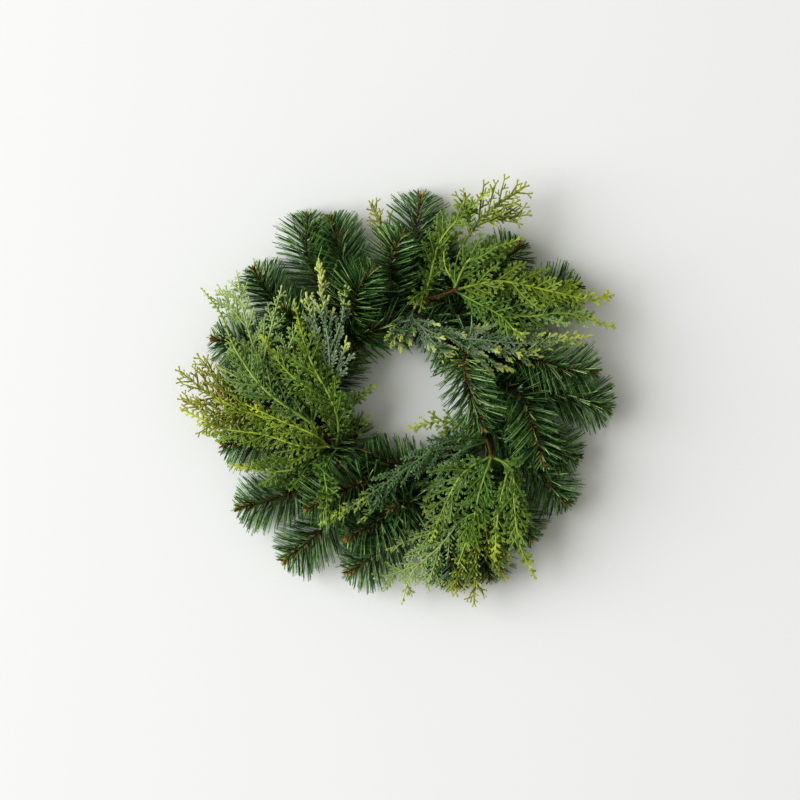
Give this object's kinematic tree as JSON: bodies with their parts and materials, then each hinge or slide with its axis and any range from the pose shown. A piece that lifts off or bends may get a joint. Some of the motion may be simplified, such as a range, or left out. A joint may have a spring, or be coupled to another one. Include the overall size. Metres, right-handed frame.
{
  "type": "artificial fir wreath",
  "caption": "Artificial wreath of wired fir tips on a wire ring, with cypress and cedar picks bound in among them and an open middle.",
  "frame": {"origin": "on the surface that the wreath lies on, under the middle of its outer box", "axes": "+Z is the front of the wreath, away from the surface; +Y is the top and +X the right as it is seen from the front"},
  "size_m": [0.3522, 0.3398, 0.0598],
  "materials": {
    "ring_wire": "green lacquered wire, satin",
    "fir_needles": "cut film needles, dark and mid green, with brown film at the buds",
    "pick_stem": "moulded plastic bark, red brown, dull",
    "cypress_frond": "moulded soft plastic, mid green to yellow green at the tips",
    "golden_frond": "moulded soft plastic, olive to gold at the tips",
    "cedar_frond": "moulded soft plastic, grey green with a pale bloom and yellow tips",
    "pale_frond": "moulded soft plastic, pale green"
  },
  "bodies": {
    "root": {"fir_tip_front_1": "fir_needles", "fir_tip_front_2": "fir_needles", "fir_tip_front_3": "fir_needles", "fir_tip_front_4": "fir_needles", "fir_tip_front_5": "fir_needles", "fir_tip_front_6": "fir_needles", "fir_tip_front_7": "fir_needles", "fir_tip_front_8": "fir_needles", "fir_tip_front_9": "fir_needles", "fir_tip_inner_1": "fir_needles", "fir_tip_inner_2": "fir_needles", "fir_tip_inner_3": "fir_needles", "fir_tip_inner_4": "fir_needles", "fir_tip_outer_1": "fir_needles", "fir_tip_outer_10": "fir_needles", "fir_tip_outer_11": "fir_needles", "fir_tip_outer_12": "fir_needles", "fir_tip_outer_13": "fir_needles", "fir_tip_outer_14": "fir_needles", "fir_tip_outer_15": "fir_needles", "fir_tip_outer_16": "fir_needles", "fir_tip_outer_17": "fir_needles", "fir_tip_outer_2": "fir_needles", "fir_tip_outer_3": "fir_needles", "fir_tip_outer_4": "fir_needles", "fir_tip_outer_5": "fir_needles", "fir_tip_outer_6": "fir_needles", "fir_tip_outer_7": "fir_needles", "fir_tip_outer_8": "fir_needles", "fir_tip_outer_9": "fir_needles", "pick_bottom_cedar_1": "cedar_frond", "pick_bottom_cedar_2": "cedar_frond", "pick_bottom_cypress_1": "cypress_frond", "pick_bottom_cypress_2": "cypress_frond", "pick_bottom_cypress_3": "cypress_frond", "pick_bottom_fan_1": "pale_frond", "pick_bottom_golden_1": "golden_frond", "pick_bottom_sprig_1": "cypress_frond", "pick_bottom_stem": "pick_stem", "pick_left_cedar_1": "cedar_frond", "pick_left_cypress_1": "cypress_frond", "pick_left_cypress_2": "cypress_frond", "pick_left_cypress_3": "cypress_frond", "pick_left_cypress_4": "cypress_frond", "pick_left_cypress_5": "cypress_frond", "pick_left_fan_1": "pale_frond", "pick_left_golden_1": "golden_frond", "pick_left_sprig_1": "cypress_frond", "pick_left_sprig_2": "cypress_frond", "pick_left_stem": "pick_stem", "pick_top_cedar_1": "cedar_frond", "pick_top_cypress_1": "cypress_frond", "pick_top_cypress_2": "cypress_frond", "pick_top_cypress_3": "cypress_frond", "pick_top_cypress_4": "cypress_frond", "pick_top_golden_1": "golden_frond", "pick_top_golden_2": "golden_frond", "pick_top_sprig_1": "cypress_frond", "pick_top_stem": "pick_stem", "wire_ring": "ring_wire"}
  },
  "joints": []
}
